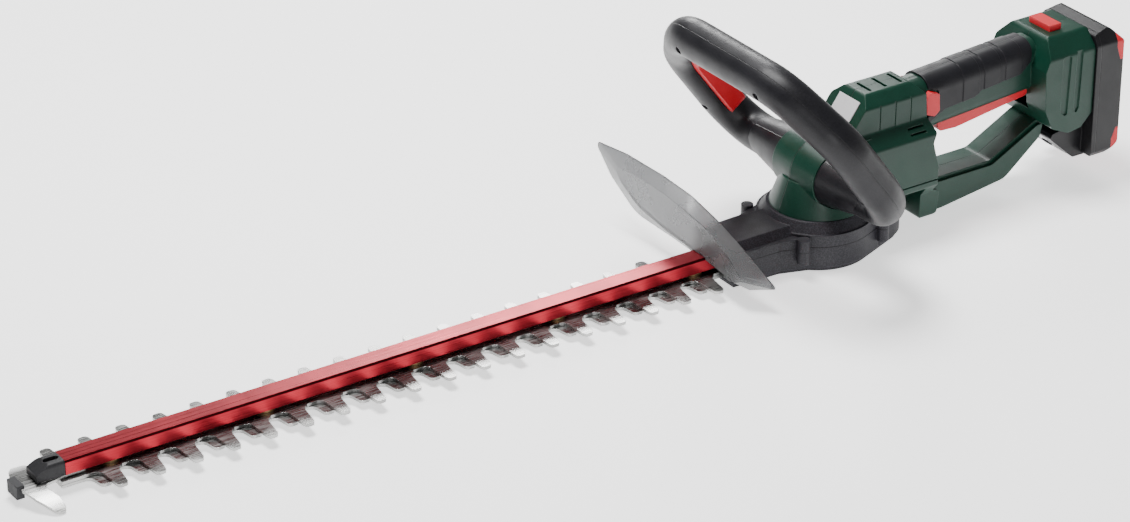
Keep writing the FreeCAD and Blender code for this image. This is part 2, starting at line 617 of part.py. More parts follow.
def rail_outline(grow):
    return [(FOOT_BACK + 1, -19.0 - grow), (FOOT_BACK - 5.0, -19.0 - grow), (FOOT_BACK - 5.0, -24.0 - grow),
            (FOOT_BACK - 9.5 - grow, -24.0 - grow), (FOOT_BACK - 9.5 - grow, 24.0 + grow),
            (FOOT_BACK - 5.0, 24.0 + grow), (FOOT_BACK - 5.0, 19.0 + grow), (FOOT_BACK + 1, 19.0 + grow)]


BUTTON_X0 = 226.0
BUTTON_X1 = 238.0


def housing_solid():
    outer = join([body_block(0), handle_core(0), lower_bar(0), foot_block(0), hub_barrel(0), skirt(0)])
    inner = join([body_block(WALL), handle_core(WALL), lower_bar(WALL), foot_block(WALL), skirt(WALL)])
    hub_room = cyl_y(0, HUB_HEIGHT, 3.0 - HUB_HALF_LENGTH, HUB_HALF_LENGTH - 3.0, HUB_RADIUS - 5.0)
    inner = join([inner, hub_room])
    keep = [cyl_y(0, HUB_HEIGHT, 1.0 - HUB_HALF_LENGTH, HUB_HALF_LENGTH - 1.0, 9.0)]
    for x, z in BODY_SCREWS:
        keep.append(cyl_y(x, z, -34.0, 34.0, 4.0))
    for z in (60.0, 78.0):
        ring = inner.common(box(18, 90, -40, 40, z, z + 3.0))
        keep.append(ring.cut(cyl_z(MOTOR_CENTRE, 0, 0, 200, MOTOR_RADIUS)))
    backing = box(FOOT_BACK - 13.0, FOOT_BACK - 0.5, -32.0, 32.0, 55.0, 132.0)
    keep.append(backing)
    keep.append(cyl_y(PIVOT_X, PIVOT_Z, -17.0, -TRIGGER_HALF_WIDTH - 1.0, 5.0))
    keep.append(cyl_y(PIVOT_X, PIVOT_Z, TRIGGER_HALF_WIDTH + 1.0, 17.0, 5.0))
    ribs = join(keep).common(outer)
    solid = join([outer.cut(inner), ribs])
    cuts = [
        cyl_y(0, HUB_HEIGHT, -40, 40, 4.1),
        cyl_y(PIVOT_X, PIVOT_Z, -13.0, 13.0, 2.0),
        box(112.0, 215.5, -TRIGGER_HALF_WIDTH - 0.4, TRIGGER_HALF_WIDTH + 0.4, 70.0, 98.0),
        slab(lock_outline(SLIP), 2.5, -40, 40),
        box(BUTTON_X0 - SLIP, BUTTON_X1 + SLIP, -13.0 - SLIP, 13.0 + SLIP, 129.0, 140.0),
        plate(rail_outline(0.4), 0, 40.0, 124.0),
        box(FOOT_BACK - 22.0, FOOT_BACK - 9.0, -14.0, 14.0, 62.0, 110.0),
        cyl_z(0, 0, 30.0, CASE_TOP + 6.0, 8.0),
        cyl_z(MOTOR_CENTRE, 0, 30.0, CASE_TOP + 5.0, 6.0),
    ]
    for way in (-1, 1):
        cuts.append(Part.makeCone(hub_cone_radius(0.6), 16.1, 44.0, V(0, way * HUB_HALF_LENGTH, 0),
                                  V(0, way, 0)).translated(V(0, 0, HUB_HEIGHT)))
    for x in (45.0, 60.5, 76.0):
        cuts += both_sides(box(x - 0.45, x + 0.45, -30.0, 0.8 - HUMP_HALF_WIDTH, 99.0, HUMP_TOP + 1))
    cuts += both_sides(box(26.0, BODY_BACK + 1, -BODY_HALF_WIDTH - 5.0, 1.0 - BODY_HALF_WIDTH, 46.0, 47.2))
    flute_side = [(239.0, 128.0), (245.0, 126.0), (243.5, 72.0), (240.5, 67.0), (238.0, 74.0)]
    flute = slab(flute_side, 1.0, -FOOT_HALF_WIDTH - 1.0, 1.3 - FOOT_HALF_WIDTH)
    cuts += both_sides(flute)
    hollow_side = [(224.0, 121.0), (233.0, 121.0), (231.0, 66.0), (224.0, 72.0)]
    hollow = slab(hollow_side, 2.0, -FOOT_HALF_WIDTH - 1.0, 1.2 - FOOT_HALF_WIDTH)
    cuts += both_sides(hollow)
    for y in CONTACT_PLACES:
        cuts.append(box(241.0, FOOT_BACK + 1, y - 0.9, y + 0.9, 40.0, 107.0))
    cuts += [tube_path(motor_lead_path(3.2 * k), 1.7) for k in (-1, 0, 1)]
    cuts += [tube_path(pack_lead_path(y), 1.9) for y in (-4.0, 4.0)]
    for x, z in BODY_SCREWS:
        cuts.append(cyl_y(x, z, -10.0, 50.0, 1.6))
        cuts.append(cyl_y(x, z, 9.0, 50.0, 3.4))
    for k in range(3):
        x = 45.0 + 15.5 * k
        cuts.append(box(x - 1.3, x + 1.3, -9.0, 9.0, HUMP_TOP - 4.0, HUMP_TOP + 1.0))
    for z in (90.0, 93.5):
        cuts += both_sides(box(70.0, 86.0, -40.0, -18.0, z, z + 1.6))
    for shape in cuts:
        solid = solid.cut(shape)
    return solid


def split_half(solid, side):
    keep = box(-60.0, 300.0, min(0.0, side * 60.0), max(0.0, side * 60.0), 0.0, 160.0)
    return solid.common(keep)


def biggest(shape):
    solids = sorted(shape.Solids, key=lambda s: s.Volume, reverse=True)
    return solids[0]


def housing_screws():
    screws = []
    for x, z in BODY_SCREWS:
        screws.append(join([cyl_y(x, z, 9.0, 11.0, 3.3), cyl_y(x, z, -9.5, 9.0, 1.6)]))
    return Part.makeCompound(screws)


# ---- soft grip ----------------------------------------------------------------------
def grip_sleeve():
    thick = 1.6
    rise = 8.0 / (HANDLE_BACK - 86.0)
    front = section(99.0, GRIP_HALF_WIDTH + thick, 79.0, 124.0 + 13 * rise + thick, 13.5, 5.0)
    back = section(HANDLE_BACK - 6.0, GRIP_HALF_WIDTH + thick, 88.0, 132.0 - 6 * rise + thick, 13.5, 5.0)
    skin = Part.makeLoft([front, back], True, True)
    lift = 0.6
    for k in range(3):
        x0 = 134.0 + 22.0 * k
        x1 = x0 + 17.0
        high = thick + lift + 124.0 - 86.0 * rise
        a = section(x0, GRIP_HALF_WIDTH + thick + lift, 92.0, high + rise * x0, 14.0, 5.0)
        b = section(x1, GRIP_HALF_WIDTH + thick + lift, 92.0, high + rise * x1, 14.0, 5.0)
        skin = skin.fuse(Part.makeLoft([a, b], True, True))
    window = slab([(99.0, 88.0), (116.0, 97.0), (146.0, 100.0), (154.0, 104.0), (194.0, 108.0), (204.0, 116.0),
                   (210.0, 150.0), (99.0, 150.0)], [0, 4, 4, 4, 6, 4, 0, 0], -30, 30)
    skin = skin.common(window)
    skin = skin.cut(housing_full_outer())
    skin = skin.cut(slab(lock_outline(1.5), 2.5, -40, 40))
    return skin


def housing_full_outer():
    return join([body_block(0), handle_core(0), foot_block(0)])


# ---- controls -----------------------------------------------------------------------
def trigger():
    side = [(114.0, 84.0), (116.0, 74.0), (134.0, 73.0), (207.0, 83.0), (213.0, 90.0), (206.0, 95.0), (124.0, 97.0)]
    lever = slab(side, [4, 4, 6, 5, 3, 2, 4], -TRIGGER_HALF_WIDTH, TRIGGER_HALF_WIDTH)
    return lever.cut(cyl_y(PIVOT_X, PIVOT_Z, -20, 20, 2.0 + RUN))


def trigger_pin():
    return cyl_y(PIVOT_X, PIVOT_Z, -13.0, 13.0, 2.0)


def coil(x, y, z0, z1, radius, wire, turns):
    pitch = (z1 - z0 - wire * 2) / turns
    helix = Part.makeHelix(pitch, z1 - z0 - wire * 2, radius)
    ring = Part.Wire(Part.Circle(V(radius, 0, 0), V(0, 1, 0), wire).toShape())
    solid = Part.Wire(helix).makePipeShell([ring], True, True)
    solid.translate(V(x, y, z0 + wire))
    return solid


def trigger_spring():
    return coil(188.0, 0, 95.6, 127.6, 4.0, 0.6, 7)


def main_switch():
    body = box(134.0, 162.0, -8.0, 8.0, 106.0, 121.0)
    plunger = cyl_z(146.0, 0, 99.9, 106.0, 2.5)
    return join([body, plunger])


def lock_button():
    half = GRIP_HALF_WIDTH + 4.5
    body = slab(lock_outline(0), 2.2, -half, half)
    return body


def release_button():
    cap = box(BUTTON_X0, BUTTON_X1, -13.0, 13.0, 131.0, 141.0)
    flange = box(BUTTON_X0 - 1.5, BUTTON_X1 + 1.5, -15.0, 15.0, 129.5, 131.5)
    return join([cap, flange]).cut(cyl_z(232.0, 0, 120, 134.0, 4.0))


def release_spring():
    return coil(232.0, 0, 118.0, 133.8, 2.8, 0.45, 5)


def control_board():
    tray = box(116.0, 160.0, -12.0, 12.0, 16.5, 27.0)
    fins = [box(120.0 + 4 * k, 122.0 + 4 * k, -10.0, 10.0, 27.0, 31.0) for k in range(9)]
    return join([tray] + fins)


def motor_lead_path(y):
    return [(115.9, y, 22.0), (104.0, y, 23.0), (91.0, y, 37.0), (80.0, y, 51.0),
            (MOTOR_CENTRE + MOTOR_RADIUS + 1.0, y, 55.0)]


def pack_lead_path(y):
    return [(160.1, y, 21.0), (180.0, y, 20.8), (214.0, y, 49.0), (226.0, y, 62.0), (235.0, y, 78.0)]


def motor_leads():
    return Part.makeCompound([tube_path(motor_lead_path(3.2 * k), 1.2) for k in (-1, 0, 1)])


def pack_leads():
    return Part.makeCompound([tube_path(pack_lead_path(y), 1.4) for y in (-4.0, 4.0)])


def terminal_block():
    block = box(236.0, FOOT_BACK - 9.9, -13.5, 13.5, 70.0, 108.0)
    for y in CONTACT_PLACES:
        block = block.cut(box(240.0, FOOT_BACK, y - 0.9, y + 0.9, 60.0, 106.0))
    return block


def name_plate():
    """A blank badge let into the sloping front of the hump."""
    slope = math.degrees(math.atan2(HUMP_TOP - 101.0, 36.0 - BODY_FRONT))
    badge = box(-10.0, 10.0, -13.0, 13.0, 0.0, 0.8)
    badge.rotate(V(0, 0, 0), V(0, 1, 0), -slope)
    badge.translate(V((36.0 + BODY_FRONT) / 2.0, 0, (HUMP_TOP + 101.0) / 2.0))
    return badge


# ---- battery pack -------------------------------------------------------------------
PACK_FRONT = FOOT_BACK + 0.4
PACK_BACK = 287.0
PACK_SPLIT = 263.0


def pack_body(d):
    block_side = [(PACK_FRONT, PACK_BOTTOM), (PACK_FRONT, PACK_TOP), (275.0, PACK_TOP + 4.0), (PACK_BACK, PACK_TOP - 8.0),
                  (PACK_BACK, PACK_BOTTOM + 8.0), (276.0, PACK_BOTTOM)]
    nose_side = [(224.5, 43.0), (226.5, 47.0), (236.0, 48.8), (247.0, 51.0), (FOOT_BACK, 62.0), (FOOT_BACK + 8, 62.0),
                 (FOOT_BACK + 8, 28.0), (FOOT_BACK + 4, 20.0), (250.0, 20.0)]
    wide = PACK_HALF_WIDTH
    shape = mirrored([(wide - 6, PACK_BOTTOM - 4), (wide, PACK_BOTTOM + 4), (wide, PACK_TOP - 8), (wide - 8, PACK_TOP + 4.5)])
    if d > 0:
        block_side = inset(block_side, d)
        nose_side = inset(nose_side, d)
        shape = inset(shape, d)
    block = slab(block_side, [2, 2, 5, 5, 5, 3], -45, 45)
    block = block.common(bar_along_x(shape, [2, 4, 5, 4, 4, 5, 4, 2], 200, 300))
    nose = slab(nose_side, [2, 2, 2, 3, 1, 0, 0, 0, 4], -24.0 + d, 24.0 - d)
    if d > 0:
        return block, nose
    return join([block, nose])


def red_zone():
    top = slab([(280.0, PACK_TOP + 6), (292.0, PACK_TOP + 6), (292.0, 106.0), (PACK_BACK - 3.0, 106.0), (280.0, 118.0)], 0, -50, 50)
    low = slab([(280.0, 15.0), (292.0, 15.0), (292.0, 44.0), (PACK_BACK - 3.0, 44.0), (280.0, 34.0)], 0, -50, 50)
    return top, low


def pack_shell():
    outer = pack_body(0)
    room, nose_room = pack_body(2.2)
    shell = outer.cut(room).cut(nose_room)
    rail = plate(rail_outline(0), 0, 66.0, 122.0).common(box(200, PACK_FRONT + 0.5, -50, 50, 0, 200))
    return shell.fuse(rail)


PACK_SCREWS = [(-28.0, 26.8), (28.0, 26.8), (-28.0, 125.0), (28.0, 125.0)]


def pack_parts():
    shell = pack_shell()
    bosses = join([cyl_x(y, z, PACK_FRONT + 1, 284.0, 2.4) for y, z in PACK_SCREWS]).common(pack_body(0))
    shell = shell.fuse(bosses)
    for y, z in PACK_SCREWS:
        shell = shell.cut(cyl_x(y, z, PACK_FRONT + 3, 300, 1.1)).cut(cyl_x(y, z, 278.0, 300, 2.3))
    for y in CONTACT_PLACES:
        shell = shell.cut(box(240.0, 262.0, y - 0.4, y + 0.4, 84.0, 104.0))
    top, low = red_zone()
    trims = [biggest(shell.common(top)), biggest(shell.common(low))]
    case = shell.cut(top).cut(low)
    gauge_cut = gauge_zone()
    base = case.common(box(200, PACK_SPLIT, -60, 60, 0, 200)).cut(gauge_cut)
    case = case.common(box(PACK_SPLIT, 300, -60, 60, 0, 200))
    return base, case, Part.makeCompound(trims)


def gauge_zone():
    angle = math.degrees(math.atan2(43.0 - 20.0, 250.0 - 224.5))
    zone = box(6.0, 30.0, -9.0, 9.0, -1.0, 1.2)
    zone.rotate(V(0, 0, 0), V(0, 1, 0), angle)
    zone.translate(V(224.5, 0, 43.0))
    return zone


def gauge_lens():
    angle = math.degrees(math.atan2(43.0 - 20.0, 250.0 - 224.5))
    lens = box(6.0, 30.0, -9.0, 9.0, 0.0, 1.2).cut(box(20.7, 27.3, -4.3, 4.3, -1, 3))
    lens.rotate(V(0, 0, 0), V(0, 1, 0), angle)
    lens.translate(V(224.5, 0, 43.0))
    return lens


def gauge_button():
    angle = math.degrees(math.atan2(43.0 - 20.0, 250.0 - 224.5))
    key = box(21.0, 27.0, -4.0, 4.0, -0.9, 0.35)
    key.rotate(V(0, 0, 0), V(0, 1, 0), angle)
    key.translate(V(224.5, 0, 43.0))
    return key


CELL_X = 272.3
CELL_RADIUS = 9.1
CELL_FIRST = 38.4
CELL_PITCH = 18.5


def pack_cells():
    cells = []
    for k in range(5):
        z = CELL_FIRST + CELL_PITCH * k
        body = cyl_y(CELL_X, z, -32.4, 32.0, CELL_RADIUS)
        nub = cyl_y(CELL_X, z, 32.0, 32.6, 3.0)
        cells.append(join([body, nub]))
    return Part.makeCompound(cells)


def cell_links():
    strips = []
    for k in range(4):
        z = CELL_FIRST + CELL_PITCH * k
        side = 1 if k % 2 == 0 else -1
        y0, y1 = (32.6, 33.0) if side > 0 else (-32.8, -32.4)
        strips.append(box(CELL_X - 4, CELL_X + 4, y0, y1, z - 4, z + CELL_PITCH + 4))
    return Part.makeCompound(strips)


def pack_contacts():
    return Part.makeCompound([box(242.0, 262.0, y - 0.4, y + 0.4, 84.0, 104.0) for y in CONTACT_PLACES])


def pack_screws():
    return Part.makeCompound([join([cyl_x(y, z, 278.0, 280.0, 2.2), cyl_x(y, z, PACK_FRONT + 4, 278.0, 1.1)])
                              for y, z in PACK_SCREWS])


# ---- front loop handle --------------------------------------------------------------
TUBE_DEEP = 16.5
TUBE_WIDE = 15.0
LOOP_SCREWS = [(-(LOOP_HALF_WIDTH - 17.0), 39.0), (-(LOOP_HALF_WIDTH - 70.0), LOOP_HEIGHT - 12.0),
               (LOOP_HALF_WIDTH - 70.0, LOOP_HEIGHT - 12.0), (LOOP_HALF_WIDTH - 17.0, 39.0)]


def open_path(points, radii):
    edges = []
    last = V(0, points[0][0], points[0][1])
    for i in range(1, len(points) - 1):
        here = V(0, points[i][0], points[i][1])
        back = V(0, points[i - 1][0], points[i - 1][1]) - here
        ahead = V(0, points[i + 1][0], points[i + 1][1]) - here
        angle = back.getAngle(ahead)
        r = radii[i - 1]
        reach = min(r / math.tan(angle / 2.0), back.Length * 0.49, ahead.Length * 0.49)
        r = reach * math.tan(angle / 2.0)
        back.normalize()
        ahead.normalize()
        middle = back + ahead
        middle.normalize()
        start = here + back * reach
        edges.append(Part.makeLine(last, start))
        edges.append(Part.Arc(start, here + middle * (r / math.sin(angle / 2.0) - r), here + ahead * reach).toShape())
        last = here + ahead * reach
    edges.append(Part.makeLine(last, V(0, points[-1][0], points[-1][1])))
    return Part.Wire(edges)


def loop_tube(deep, wide):
    arm = LOOP_HALF_WIDTH - TUBE_WIDE
    top = LOOP_HEIGHT - TUBE_WIDE
    half = [(61.0 - LOOP_HALF_WIDTH, -1.0), (31.0 - LOOP_HALF_WIDTH, 0.0), (-arm, 24.0),
            (-arm, LOOP_HEIGHT - 63.0), (57.0 - LOOP_HALF_WIDTH, top)]
    points = half + [(-a, b) for a, b in reversed(half)]
    path = open_path(points, [26.0, 60.0, 42.0, 42.0, 42.0, 42.0, 60.0, 26.0])
    ring = Part.Ellipse(V(0, 0, 0), deep, wide).toShape()
    ring.rotate(V(0, 0, 0), V(1, 0, 0), 90)
    ring.translate(V(0, half[0][0], half[0][1]))
    return path.makePipeShell([Part.Wire(ring)], True, False)


def lean_back(shape):
    shape.rotate(V(0, 0, 0), V(0, 1, 0), -LOOP_LEAN)
    shape.translate(V(0, 0, HUB_HEIGHT))
    return shape


def loop_shell():
    start = HUB_HALF_LENGTH + SLIP
    outer = [loop_tube(TUBE_DEEP, TUBE_WIDE)]
    inner = [loop_tube(TUBE_DEEP - WALL, TUBE_WIDE - WALL)]
    for way in (-1, 1):
        outer.append(Part.makeCone(hub_cone_radius(0), 15.5, 44.0, V(0, way * start, 0), V(0, way, 0)))
        inner.append(Part.makeCone(hub_cone_radius(-3.0), 12.5, 41.0, V(0, way * (start + 3), 0), V(0, way, 0)))
    solid = join(outer).cut(join(inner))
    posts_here = join([cyl_x(y, z, -TUBE_DEEP, TUBE_DEEP, 3.6) for y, z in LOOP_SCREWS]).common(join(outer))
    solid = join([solid, posts_here])
    solid = solid.cut(bail_plate(0.4, 4.0, -5.4, 11.4))
    for y, z in LOOP_SCREWS:
        solid = solid.cut(cyl_x(y, z, -30.0, 10.0, 1.6)).cut(cyl_x(y, z, -30.0, -10.0, 3.2))
    solid = solid.cut(cyl_y(0, 0, -60, 60, 4.1))
    return solid


def loop_half(solid, side):
    keep = box(min(0, side * 60), max(0, side * 60), -200, 200, -60, 200)
    return lean_back(solid.common(keep))


def loop_screws():
    screws = [join([cyl_x(y, z, -12.0, -10.0, 3.1), cyl_x(y, z, -10.0, 9.5, 1.6)]) for y, z in LOOP_SCREWS]
    return lean_back(Part.makeCompound(screws))


def bail_plate(grow, lift, x0, x1):
    """The red bail runs round the inside of the loop: two legs and a top, in one plane."""
    leg = LOOP_HALF_WIDTH - 2 * TUBE_WIDE + 4.0
    inner = LOOP_HALF_WIDTH - 2 * TUBE_WIDE - 8.0
    top = LOOP_HEIGHT - 2 * TUBE_WIDE + 4.5
    foot = 28.0
    half = [(inner - grow, foot - grow), (leg + grow, foot - grow), (leg + grow, LOOP_HEIGHT - 62.0 + grow + lift),
            (LOOP_HALF_WIDTH - 59.0 + grow, top + grow + lift)]
    low = [(LOOP_HALF_WIDTH - 66.0 - grow * 0.6, top - 15.0 - grow), (inner - grow, LOOP_HEIGHT - 68.0 - grow)]
    left = [(-a, b) for a, b in reversed(half)]
    outline = half + left + [(-low[1][0], low[1][1]), (-low[0][0], low[0][1])] + low
    radii = [9, 9, 22, 22, 22, 22, 9, 9, 12, 12, 12, 12]
    wire = round_wire(outline, radii, lambda a, b: V(x0, a, b))
    return Part.Face(wire).extrude(V(x1 - x0, 0, 0))


def switch_bar():
    return lean_back(bail_plate(0.0, 0.0, -5.0, 11.0))


def loop_switches():
    boxes = [box(-5.0, 5.0, y - 10.0, y + 10.0, LOOP_HEIGHT - 17.5, LOOP_HEIGHT - 8.0)
             for y in (-30.0, 30.0)]
    return lean_back(Part.makeCompound(boxes))


def hub_bolt():
    rod = cyl_y(0, HUB_HEIGHT, -42.0, 42.0, 4.0)
    head = cyl_y(0, HUB_HEIGHT, -45.0, -40.0, 7.5)
    return join([rod, head])


def hub_nut():
    return cyl_y(0, HUB_HEIGHT, 36.0, 41.5, 7.5).cut(cyl_y(0, HUB_HEIGHT, 0, 60, 4.0))


# ---- hand guard ---------------------------------------------------------------------
GUARD_FRONT = NECK_FRONT - 17.0
GUARD_THICK = 2.0
GUARD_TURN = 0.075
GUARD_ROUNDS = [4, 60, 60, 60, 60, 40, 2, 6, 30, 40, 40, 20]


def guard_rim():
    """Open edge of the dish, at its back, as (y, z). The dish is hung higher on the right."""
    return [(151.0, 63.5), (108.0, 67.0), (62.0, 65.5), (27.0, 61.5), (-5.0, 52.5), (-36.0, 40.0), (-78.0, 21.0),
            (-44.0, 6.5), (0.0, 9.5), (50.0, 14.5), (97.0, 18.0), (129.0, 39.0)]


def guard_face():
    """Edge of the flat front of the dish, as (y, z)."""
    return [(119.0, 54.0), (84.0, 57.5), (48.0, 57.5), (18.0, 54.5), (-12.0, 50.0), (-36.0, 40.5), (-58.0, 25.5),
            (-48.0, 19.5), (0.0, 24.0), (45.0, 26.0), (85.0, 31.0), (109.0, 43.0)]


def guard_dish(thick, back):
    face = inset(guard_face(), thick) if thick else guard_face()
    rim = inset(guard_rim(), thick) if thick else guard_rim()
    front_wire = round_wire(face, GUARD_ROUNDS, lambda y, z: V(GUARD_FRONT + thick, y, z))
    back_wire = round_wire(rim, GUARD_ROUNDS, lambda y, z: V(NECK_FRONT - 3.0 + back - GUARD_TURN * y, y, z))
    return Part.makeLoft([front_wire, back_wire], True, True)


def hand_guard():
    shell = guard_dish(0.0, 0.0).cut(guard_dish(GUARD_THICK, 0.1))
    flange = box(NECK_FRONT - 3.0, NECK_FRONT, -24.0, 24.0, 6.0, 35.0)
    guard = join([shell, flange])
    guard = guard.cut(box(-160, NECK_FRONT + 1, -14.5, 14.5, 0.0, BAR_BOTTOM))
    guard = guard.cut(box(-160, NECK_FRONT + 1, -BAR_HALF_WIDTH - 0.2, BAR_HALF_WIDTH + 0.2, 0.0, BAR_TOP + 0.2))
    guard = guard.cut(box(GUARD_FRONT - 1, NECK_FRONT - 4.0, -39.0, 39.0, 0.0, BLADE_TOP + 1.0))
    for y in (-20.0, 20.0):
        guard = guard.cut(cyl_x(y, 17.0, NECK_FRONT - 5, NECK_FRONT + 1, 1.8))
        guard = guard.cut(cyl_x(y, 17.0, GUARD_FRONT - 1, NECK_FRONT - 3.0, 3.6))
    return guard


def hand_guard_screws():
    return Part.makeCompound([join([cyl_x(y, 17.0, NECK_FRONT - 5.0, NECK_FRONT - 3.0, 3.4),
                                    cyl_x(y, 17.0, NECK_FRONT - 3.0, NECK_FRONT + 11.5, 1.8)]) for y in (-20.0, 20.0)])


def drilled(case):
    for y in (-20.0, 20.0):
        case = case.cut(cyl_x(y, 17.0, NECK_FRONT - 1, NECK_FRONT + 12.0, 1.8))
    return case


# ---- build and save -----------------------------------------------------------------
def main():
    os.makedirs("parts", exist_ok=True)
    save(upper_blade(), "upper_blade")
    save(lower_blade(), "lower_blade")
    save(guide_bar(), "guide_bar")
    save(blade_bolts(), "blade_bolts")
    save(blade_washers(), "blade_washers")
    save(blade_bushes(), "blade_bushes")
    guard = tip_guard()
    save(guard, "tip_guard")
    save(tip_screw(), "tip_screw")
    save(tip_cap(), "tip_cap")
    save(tip_bumper(guard), "tip_bumper")
    save(drilled(gear_case_lower()), "gear_case_lower")
    save(gear_case_upper(), "gear_case_upper")
    save(gear_case_screws(), "gear_case_screws")
    save(drive_gear(), "drive_gear")
    save(gear_bearings(), "gear_bearings")
    save(motor_rotor(), "motor_rotor")
    save(motor_fan(), "motor_fan")
    save(motor_stator(), "motor_stator")
    save(motor_can(), "motor_can")
    save(motor_bearings(), "motor_bearings")
    body = housing_solid()
    save(split_half(body, -1), "left_housing")
    save(split_half(body, 1), "right_housing")
    save(housing_screws(), "housing_screws")
    sleeve = grip_sleeve()
    save(split_half(sleeve, -1), "left_grip")
    save(split_half(sleeve, 1), "right_grip")
    save(trigger(), "trigger")
    save(trigger_pin(), "trigger_pin")
    save(trigger_spring(), "trigger_spring")
    save(main_switch(), "main_switch")
    save(lock_button(), "lock_button")
    save(release_button(), "release_button")
    save(release_spring(), "release_spring")
    save(control_board(), "control_board")
    save(motor_leads(), "motor_leads")
    save(pack_leads(), "pack_leads")
    save(terminal_block(), "terminal_block")
    save(name_plate(), "name_plate")
    base, case, trims = pack_parts()
    save(base, "pack_base")
    save(case, "pack_case")
    save(trims, "pack_trim")
    save(pack_cells(), "pack_cells")
    save(cell_links(), "cell_links")
    save(pack_contacts(), "pack_contacts")
    save(pack_screws(), "pack_screws")
    save(gauge_lens(), "gauge_lens")
    save(gauge_button(), "gauge_button")
    loop = loop_shell()
    save(loop_half(loop, -1), "loop_front_shell")
    save(loop_half(loop, 1), "loop_rear_shell")
    save(loop_screws(), "loop_screws")
    save(switch_bar(), "switch_bar")
    save(loop_switches(), "loop_switches")
    save(hub_bolt(), "hub_bolt")
    save(hub_nut(), "hub_nut")
    save(hand_guard(), "hand_guard")
    save(hand_guard_screws(), "hand_guard_screws")


main()
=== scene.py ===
# %% [markdown]
# # A battery hedge trimmer
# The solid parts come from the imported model, in metres, already in their places.
# This script gives every one of them its finish, and sets the floor, the lights and the camera.

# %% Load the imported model
import math

import bmesh
import bpy
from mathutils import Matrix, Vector


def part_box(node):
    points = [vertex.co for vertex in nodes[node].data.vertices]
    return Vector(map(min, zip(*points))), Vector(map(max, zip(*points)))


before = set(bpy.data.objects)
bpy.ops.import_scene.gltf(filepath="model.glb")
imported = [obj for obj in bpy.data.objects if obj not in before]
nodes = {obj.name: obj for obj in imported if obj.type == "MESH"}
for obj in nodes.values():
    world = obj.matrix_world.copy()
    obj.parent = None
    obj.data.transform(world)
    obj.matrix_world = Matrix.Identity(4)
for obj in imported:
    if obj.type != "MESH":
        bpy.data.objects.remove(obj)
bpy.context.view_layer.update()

# %% [markdown]
# ## A finish made of nodes
# Moulded plastic is never one colour. It has a fine spark-eroded grain, a slow drift of tone
# where it has been handled, and edges that catch the light because they are slightly round.
# All of that can be worked out from the place of a point on the tool, so no picture is needed.
# The Bevel node rounds the normals near an edge without touching the mesh, and the angle between
# the rounded normal and the true one tells how close an edge is; there the colour is lifted, partly as polish
# from handling and partly as a painted highlight.

# %% A small helper for wiring nodes
class Finish:
    """One material under construction, with short calls for the nodes used again and again."""

    def __init__(self, name):
        self.material = bpy.data.materials.new(name)
        self.material.use_nodes = True
        self.tree = self.material.node_tree
        self.shader = self.tree.nodes["Principled BSDF"]
        self.place = self.node("ShaderNodeTexCoord").outputs["Object"]

    def node(self, kind, **values):
        made = self.tree.nodes.new(kind)
        for key, value in values.items():
            setattr(made, key, value)
        return made

    def link(self, out, into):
        self.tree.links.new(out, into)

    def put(self, socket, value):
        if hasattr(value, "is_output"):
            self.link(value, socket)
        else:
            socket.default_value = value

    def sum(self, operation, a, b=0.0, clamp=False):
        made = self.node("ShaderNodeMath", operation=operation, use_clamp=clamp)
        self.put(made.inputs[0], a)
        self.put(made.inputs[1], b)
        return made.outputs[0]

    def stretched(self, scale, turn=(0, 0, 0)):
        made = self.node("ShaderNodeMapping")
        self.link(self.place, made.inputs["Vector"])
        made.inputs["Scale"].default_value = scale
        made.inputs["Rotation"].default_value = turn
        return made.outputs["Vector"]

    def noise(self, scale, detail=3.0, vector=None):
        made = self.node("ShaderNodeTexNoise")
        self.link(vector or self.place, made.inputs["Vector"])
        made.inputs["Scale"].default_value = scale
        made.inputs["Detail"].default_value = detail
        return made.outputs["Fac"]

    def ramp(self, value, low, high, start=0.0, end=1.0):
        made = self.node("ShaderNodeMapRange")
        self.link(value, made.inputs["Value"])
        made.inputs["From Min"].default_value = low
        made.inputs["From Max"].default_value = high
        made.inputs["To Min"].default_value = start
        made.inputs["To Max"].default_value = end
        return made.outputs["Result"]

    def blend(self, share, colour_a, colour_b):
        made = self.node("ShaderNodeMix", data_type="RGBA")
        self.put(made.inputs["Factor"], share)
        self.put(made.inputs["A"], as_colour(colour_a))
        self.put(made.inputs["B"], as_colour(colour_b))
        return made.outputs["Result"]

    def near_plane(self, normal, offset, half_width):
        """1 on a thin band round the plane normal . p = offset, 0 away from it."""
        made = self.node("ShaderNodeVectorMath", operation="DOT_PRODUCT")
        self.link(self.place, made.inputs[0])
        made.inputs[1].default_value = normal
        away = self.sum("ABSOLUTE", self.sum("SUBTRACT", made.outputs["Value"], offset))
        return self.ramp(away, half_width * 0.5, half_width, 1.0, 0.0)

    def edges(self, radius):
        """Rounded normals, and a mask that is 1 on the edges they round."""
        rounded = self.node("ShaderNodeBevel", samples=6)
        rounded.inputs["Radius"].default_value = radius
        true = self.node("ShaderNodeNewGeometry")
        made = self.node("ShaderNodeVectorMath", operation="DOT_PRODUCT")
        self.link(rounded.outputs["Normal"], made.inputs[0])
        self.link(true.outputs["Normal"], made.inputs[1])
        return rounded.outputs["Normal"], self.ramp(made.outputs["Value"], 0.995, 0.90)

    def bump(self, height, distance, strength=1.0, normal=None):
        made = self.node("ShaderNodeBump")
        self.link(height, made.inputs["Height"])
        made.inputs["Distance"].default_value = distance
        made.inputs["Strength"].default_value = strength
        if normal is not None:
            self.link(normal, made.inputs["Normal"])
        return made.outputs["Normal"]


def as_colour(value):
    return value if hasattr(value, "is_output") else (*value[:3], 1.0)


